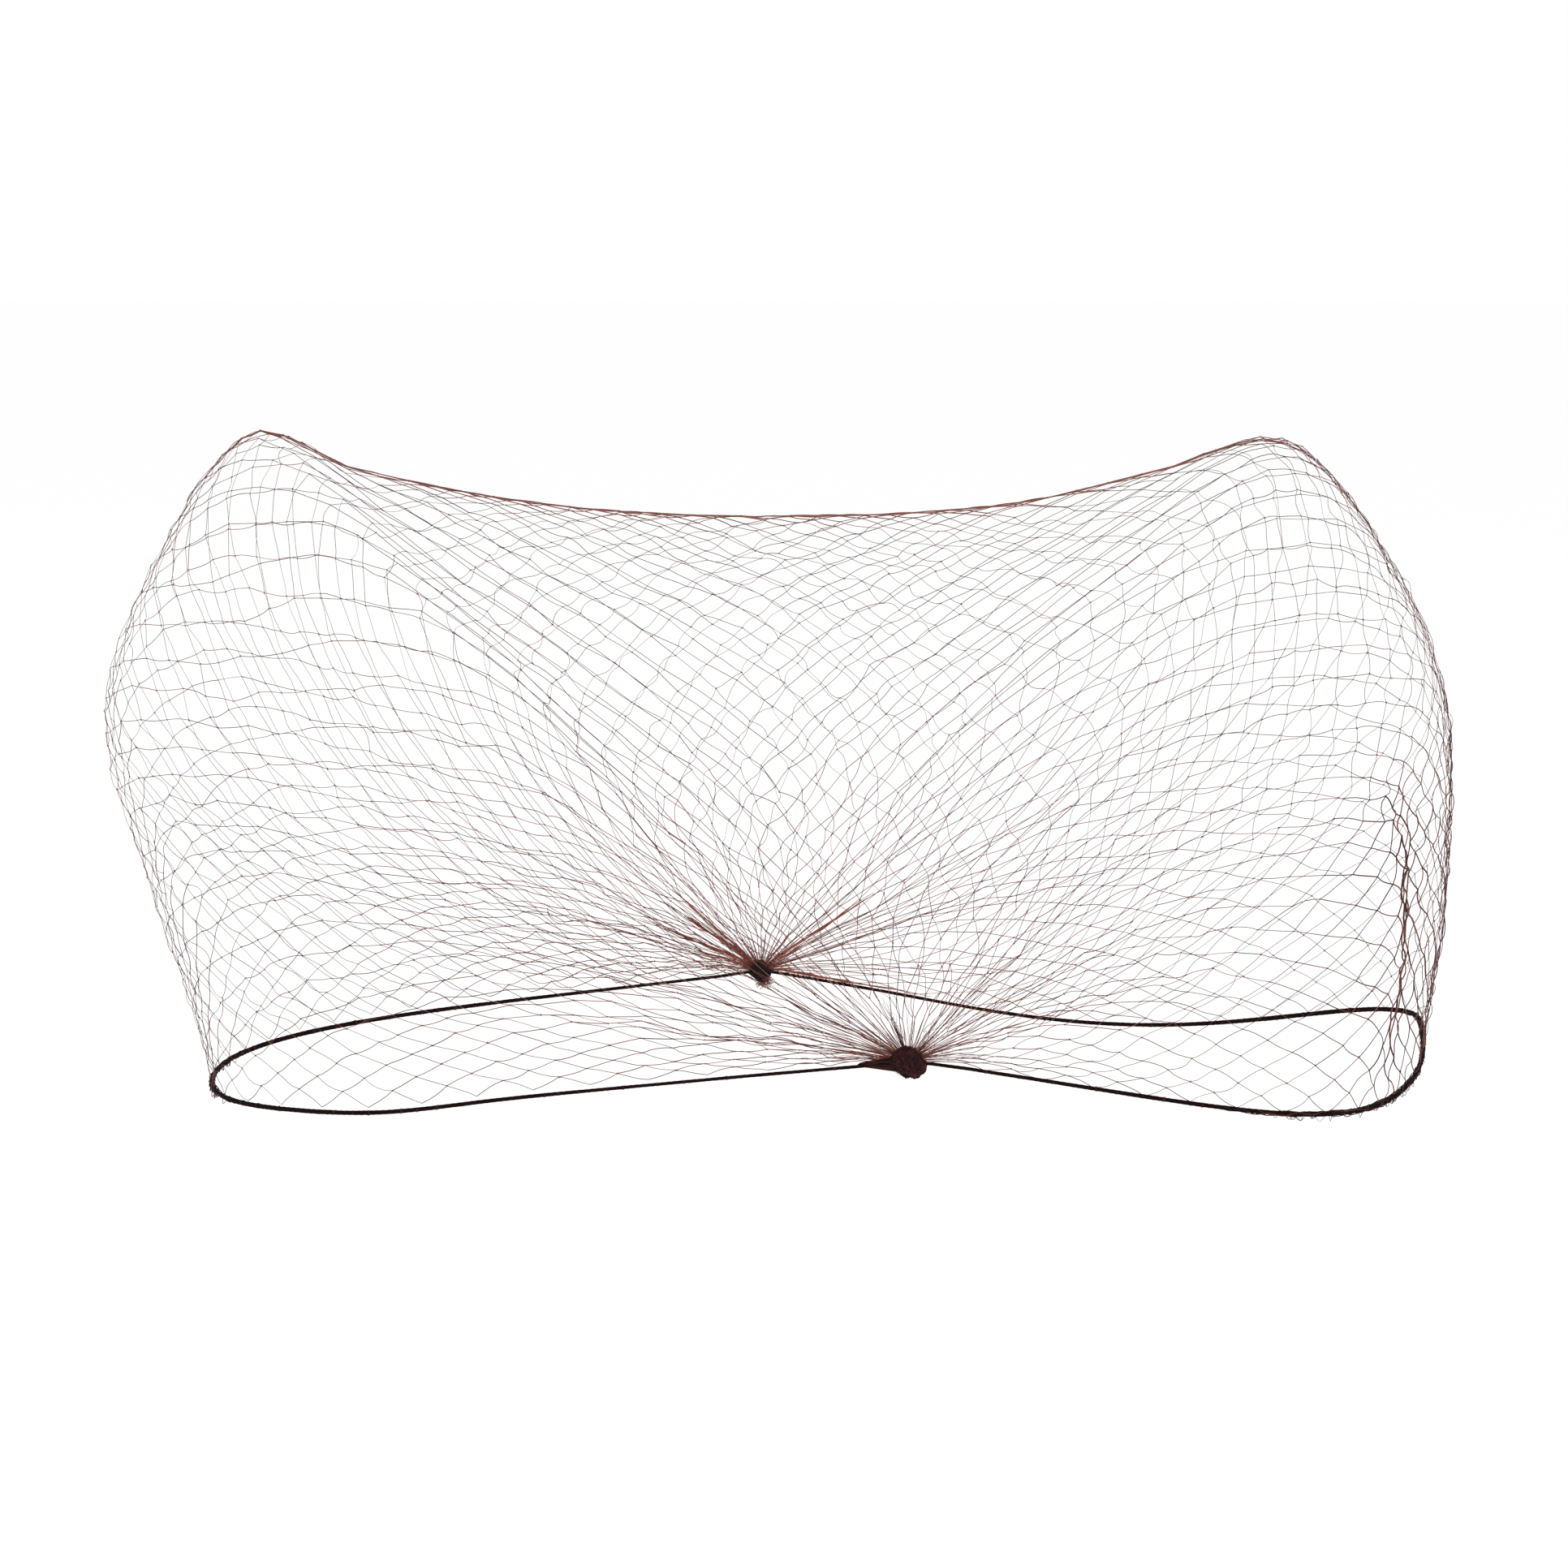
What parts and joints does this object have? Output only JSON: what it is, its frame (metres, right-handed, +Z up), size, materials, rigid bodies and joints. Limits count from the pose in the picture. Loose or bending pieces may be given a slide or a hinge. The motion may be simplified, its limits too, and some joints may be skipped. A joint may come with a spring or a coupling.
{
  "type": "disposable hair net",
  "caption": "Fine brown mesh hair net stretched wide open, a diamond net bag gathered at two knots on a thin closed elastic loop.",
  "frame": {"origin": "in the open mouth of the net, straight below the lowest point of the crown, at the level of the lowest part of the elastic loop", "axes": "+X along the length of the stretched net, +Y from the front knot's side to the rear knot's side, +Z up towards the crown"},
  "size_m": [0.2742, 0.0822, 0.1348],
  "materials": {
    "net_thread": "fine twisted nylon thread, reddish dark brown",
    "covered_elastic": "thread-covered elastic, brown-black",
    "bound_knot": "gathered and tied thread, very dark brown"
  },
  "bodies": {
    "root": {"net_crown": "net_thread", "elastic_edge": "covered_elastic", "front_knot": "bound_knot", "rear_knot": "bound_knot"}
  },
  "joints": []
}
